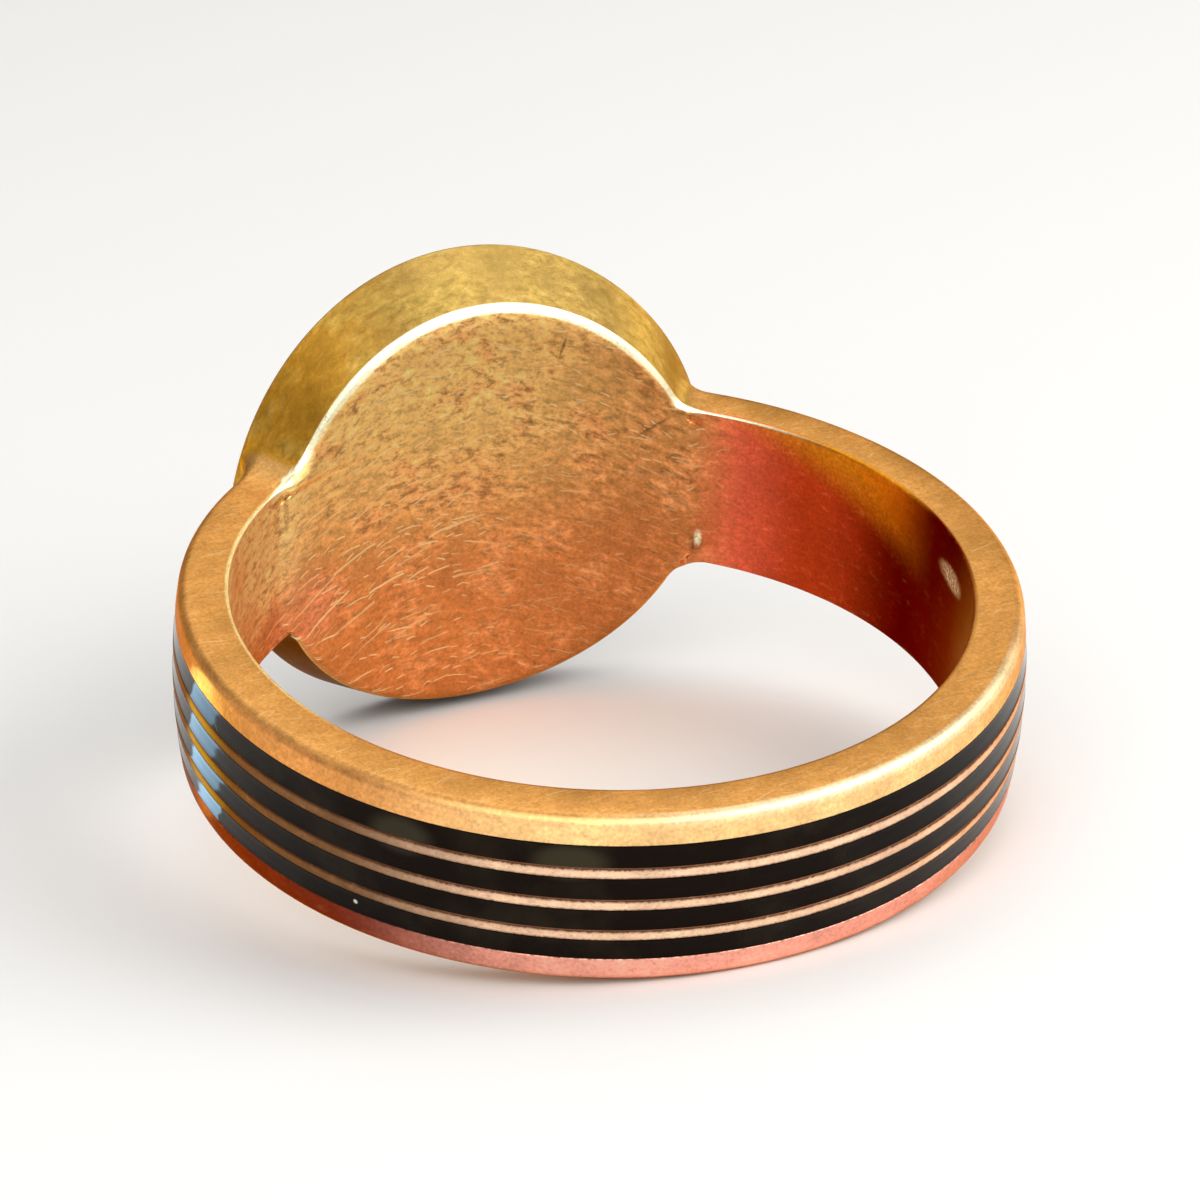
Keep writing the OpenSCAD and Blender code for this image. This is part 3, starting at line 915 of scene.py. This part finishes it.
brighter = most(tree, times(tree, brighter, 0.5), light_marks)
colour = lay_over(tree, times(tree, darker, 0.7), shade, dark_gold)
colour = lay_over(tree, times(tree, brighter, 0.9), colour, light_gold)

# single marks: a pit, a crack, a nick and a crease in the dark, and painted glints: on the pit, a small star
# at the hole's edge, a rubbed spot on the inner face, the burr at the notch and the top left joint
pit = spot(tree, on["Ring"], (5.7, 6.94, -1.66), (0.26, 0.26, 0.4))
pit_glint = spot(tree, on["Ring"], (5.75, 6.93, -1.5), (0.14, 0.14, 0.34))
pit_glint = times(tree, pit_glint, plus(tree, 0.8, times(tree, grain, 3.0)))
crack = spot(tree, on["Ring"], (4.54, 7.4, 1.82), (0.62, 1.0, 0.06), -0.6)
nick = spot(tree, on["Ring"], (2.2, 7.95, 4.3), (0.06, 1.0, 0.36), 0.3)
crease = spot(tree, on["Ring"], (-5.62, 7.0, 1.5), (0.12, 0.3, 0.75))
seam = most(tree, crease, spot(tree, on["Ring"], (5.62, 6.98, 1.95), (0.25, 0.25, 0.25)))
flaws = most(tree, pit, crack, nick, crease)
flaws = times(tree, flaws, plus(tree, 0.5, times(tree, grain, 2.0)))
colour = lay_over(tree, flaws, colour, pit_gold)
# painted glint on a rubbed spot of the inner face
bore_rub_glint = spot(tree, on["Ring"], (8.91, -1.25, 1.2), (0.4, 1.05, 0.38))
bore_rub_glint = times(tree, bore_rub_glint, plus(tree, 0.7, times(tree, grain, 3.0)))
burr = spot(tree, on["Ring"], (-5.33, 7.15, -2.42), (0.22, 0.3, 0.1))
joint_glint = spot(tree, on["Ring"], (-5.55, 7.05, 2.36), (0.2, 0.2, 0.22))
star = spot(tree, on["Ring"], (-8.97, 0.73, 2.25), (0.08, 0.08, 0.1))
glints = most(tree, pit_glint, star, bore_rub_glint, burr, joint_glint)
colour = lay_over(tree, glints, colour, highlight_gold)
tree.links.new(colour, shader.inputs["Base Color"])

rough = slide(tree, on["Plate"], 0.34, 0.4)
rough = slide(tree, most(tree, edge_highlight, glints), rough, 0.3)
rough = slide(tree, most(tree, on["Top round"], bore_rub_glint), rough, 0.42)
rough = slide(tree, seam, rough, 0.8)
rough = plus(tree, rough, times(tree, minus(tree, tiny[1], 0.5), 0.2))
tree.links.new(rough, shader.inputs["Roughness"])
shader.inputs["Metallic"].default_value = 1.0
shader.inputs["Specular Tint"].default_value = (0.85, 0.48, 0.3, 1)
relief = minus(tree, tiny[0], times(tree, rubbed, slide(tree, on["Plate"], 0.3, 1.2)))
bump = add(tree, "ShaderNodeBump", {"Height": relief, "Distance": 0.008 * mm, "Strength": 0.7})
tree.links.new(bump.outputs[0], shader.inputs["Normal"])

body.data.materials.clear()
body.data.materials.append(gold)
lay_down(body, 28)
evener = body.modifiers.new("even shading", "WEIGHTED_NORMAL")
evener.keep_sharp = True
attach(body, "root")
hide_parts("gold_body")

# Enamel stripes
# Four strips of black glass enamel, melted into the channels and ground almost level with the gold.
enamel = bpy.data.materials.new("black enamel")
enamel_sink = 0.015
into_channel = 0.004
into_end = 0.0004
enamel_black = (0.002, 0.0015, 0.001, 1)
enamel_cloud_and_sheen = (0.03, 0.026, 0.015, 1)
speck_colour = (0.7, 0.6, 0.5, 1)
tree, shader, on = start_material(enamel)
glass = use(tree, surface_grain, Place=on["Ring"], Grain=0.12, Patch=2.2).outputs
# random cloudy patches in the glass, and two placed pale patches at the front left that are painted
# reflection
cloud_and_sheen = times(tree, soft(tree, glass[1], 0.45, 0.75), 0.4)
for place, size in (((-7.8, -6.8, 1.06), (1.0, 1.0, 0.6)), ((-4.6, -9.2, 1.1), (1.2, 1.0, 0.6))):
    cloud_and_sheen = most(tree, cloud_and_sheen, spot(tree, on["Ring"], place, size))
colour = lay_over(tree, cloud_and_sheen, enamel_black, enamel_cloud_and_sheen)
specks_here = use(tree, specks, Place=on["Ring"], Cell=1.1, Size=0.035, Share=0.3).outputs[0]
speck = spot(tree, on["Ring"], (-8.53, -5.86, -1.24), (0.08, 0.08, 0.08))
specks_here = most(tree, times(tree, specks_here, 0.4), speck)
colour = lay_over(tree, specks_here, colour, speck_colour)
tree.links.new(colour, shader.inputs["Base Color"])
hairs = use(
    tree, short_scratches, Place=on["Face"], Cell=0.8, Slant=0.1, Spread=1.5, Length=0.5, Width=0.012,
    Share=0.5).outputs[0]
rough = plus(tree, 0.1, times(tree, cloud_and_sheen, 0.12))
rough = plus(tree, rough, times(tree, hairs, 0.2))
tree.links.new(rough, shader.inputs["Roughness"])
wave = plus(tree, times(tree, glass[0], 0.15), glass[1])
relief = minus(tree, wave, times(tree, hairs, 0.5))
bump = add(tree, "ShaderNodeBump", {"Height": relief, "Distance": 0.01 * mm, "Strength": 0.6})
tree.links.new(bump.outputs[0], shader.inputs["Normal"])
shader.inputs["IOR"].default_value = 1.2
shader.inputs["Specular Tint"].default_value = (1.0, 0.6, 0.45, 1)

for number, height in enumerate(stripe_heights, 1):
    half = stripe_half + into_channel
    steps = 8
    top_face = []
    for k in range(steps + 1):
        t = 2 * k / steps - 1
        z = height - half + 2 * half * k / steps
        top_face.append((crown_r(z) - enamel_sink + 0.01 * t ** 4, z, 0))
    floor_r = channel_r - into_channel
    section = [(floor_r, height + half, 0), (floor_r, height - half, 0)] + top_face
    stripe = grow(
        "enamel_stripe_%d_looks" % number, turned_section, section, True, enamel,
        Start=math.pi / 2 + stripe_end - into_end, Sweep=2 * math.pi - 2 * (stripe_end - into_end),
        **{"Steps": shank_steps, "Plain steps": 0})
    lay_down(stripe, 40)
    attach(stripe, "root")
    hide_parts("enamel_stripe_%d" % number)

# Front panel
# What closes the front of the head isn't seen, so it is one plain low dome of black enamel, set a little
# below the rim.
panel_gap = 0.03
panel_drop = 0.12
panel_dome = 0.5
panel_depth = head_depth - panel_drop
panel_r = wall_r(panel_depth) - wall_t - panel_gap
panel_section = [(r, plate_t + panel_gap, 0) for r in (0, 2.5, 4.5)]
panel_section += [(wall_r(plate_t) - wall_t - 2 * panel_gap, plate_t + panel_gap, 0)]
panel_section += bend((panel_r - 0.05, panel_depth - 0.12), (panel_r, panel_depth), (
    panel_r * 0.975, panel_depth + panel_dome * (1 - 0.975 ** 2)), 4)
for share in np.linspace(0.93, 0, 12):
    panel_section.append((panel_r * share, panel_depth + panel_dome * (1 - share ** 2), 0))
panel = grow("front_panel_looks", bowed_head, panel_section, False, enamel, Steps=128, **bow_sizes)
lay_down(panel, 40)
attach(panel, "root")
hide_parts("front_panel")

# Floor and lights
# A plain pale floor, soft boxes round the ring, and a quiet grey room.
floor_mesh = bpy.data.meshes.new("floor")
floor_mesh.from_pydata([(-3, -3, 0), (3, -3, 0), (3, 3, 0), (-3, 3, 0)], [], [(0, 1, 2, 3)])
floor = bpy.data.objects.new("floor", floor_mesh)
bpy.context.scene.collection.objects.link(floor)

floor_stuff = bpy.data.materials.new("pale floor")
floor_stuff.use_nodes = True
floor_shader = floor_stuff.node_tree.nodes["Principled BSDF"]
floor_shader.inputs["Base Color"].default_value = (0.77, 0.76, 0.74, 1)
floor_shader.inputs["Roughness"].default_value = 0.7
floor_shader.inputs["Specular IOR Level"].default_value = 0.1
floor_mesh.materials.append(floor_stuff)

lit_middle = Vector((0, 0, 6 * mm))
light_distance = 0.3
world = bpy.data.worlds.new("room")
world.use_nodes = True
world.node_tree.nodes["Background"].inputs[0].default_value = (0.32, 0.32, 0.32, 1)
bpy.context.scene.world = world


def softbox(name, turn, height, width, tall, brightness):
    """A soft light that looks at the ring. Its turn is to the right of the camera, in degrees."""
    light = bpy.data.lights.new(name, "AREA")
    light.shape = "RECTANGLE"
    light.size = width
    light.size_y = tall
    light.energy = brightness * math.pi * width * tall
    lamp = bpy.data.objects.new(name, light)
    bearing = math.radians(turn) - view_side
    rise_angle = math.radians(height)
    level_part = math.cos(rise_angle)
    away = Vector((math.sin(bearing) * level_part, -math.cos(bearing) * level_part, math.sin(rise_angle)))
    lamp.location = lit_middle + light_distance * away
    lamp.rotation_euler = away.to_track_quat("Z", "Y").to_euler()
    lamp.visible_camera = False
    bpy.context.scene.collection.objects.link(lamp)
    return lamp


softbox("light behind", 180, 46, 0.26, 0.14, 0.66)
softbox("light overhead", 140, 74, 0.22, 0.18, 1.1)
softbox("light behind at the right", 145, 13, 0.2, 0.1, 1.2)
softbox("main light at the right", 72, 34, 0.38, 0.2, 4.0)
softbox("light by the camera", -5, 37, 0.3, 0.25, 2.3)
softbox("light at the left", -95, 18, 0.16, 0.1, 0.6)
softbox("light above at the left", -125, 66, 0.3, 0.2, 0.6)

# a small cool light close to the enamel at the left: its width, its length, its back and its place
strip = softbox("narrow strip at the left", 0, 0, 0.001, 0.0045, 4.0)
strip.data.color = (0.37, 0.71, 1.0)
strip.visible_diffuse = False
strip_place = Matrix(((-0.92, 0, -0.38, -10.97), (-0.38, 0, 0.92, 0.67), (0, 1, 0, -0.65), (0, 0, 0, 1)))
strip.matrix_world = laid_down @ millimetres @ strip_place @ Matrix.Scale(1 / mm, 4)
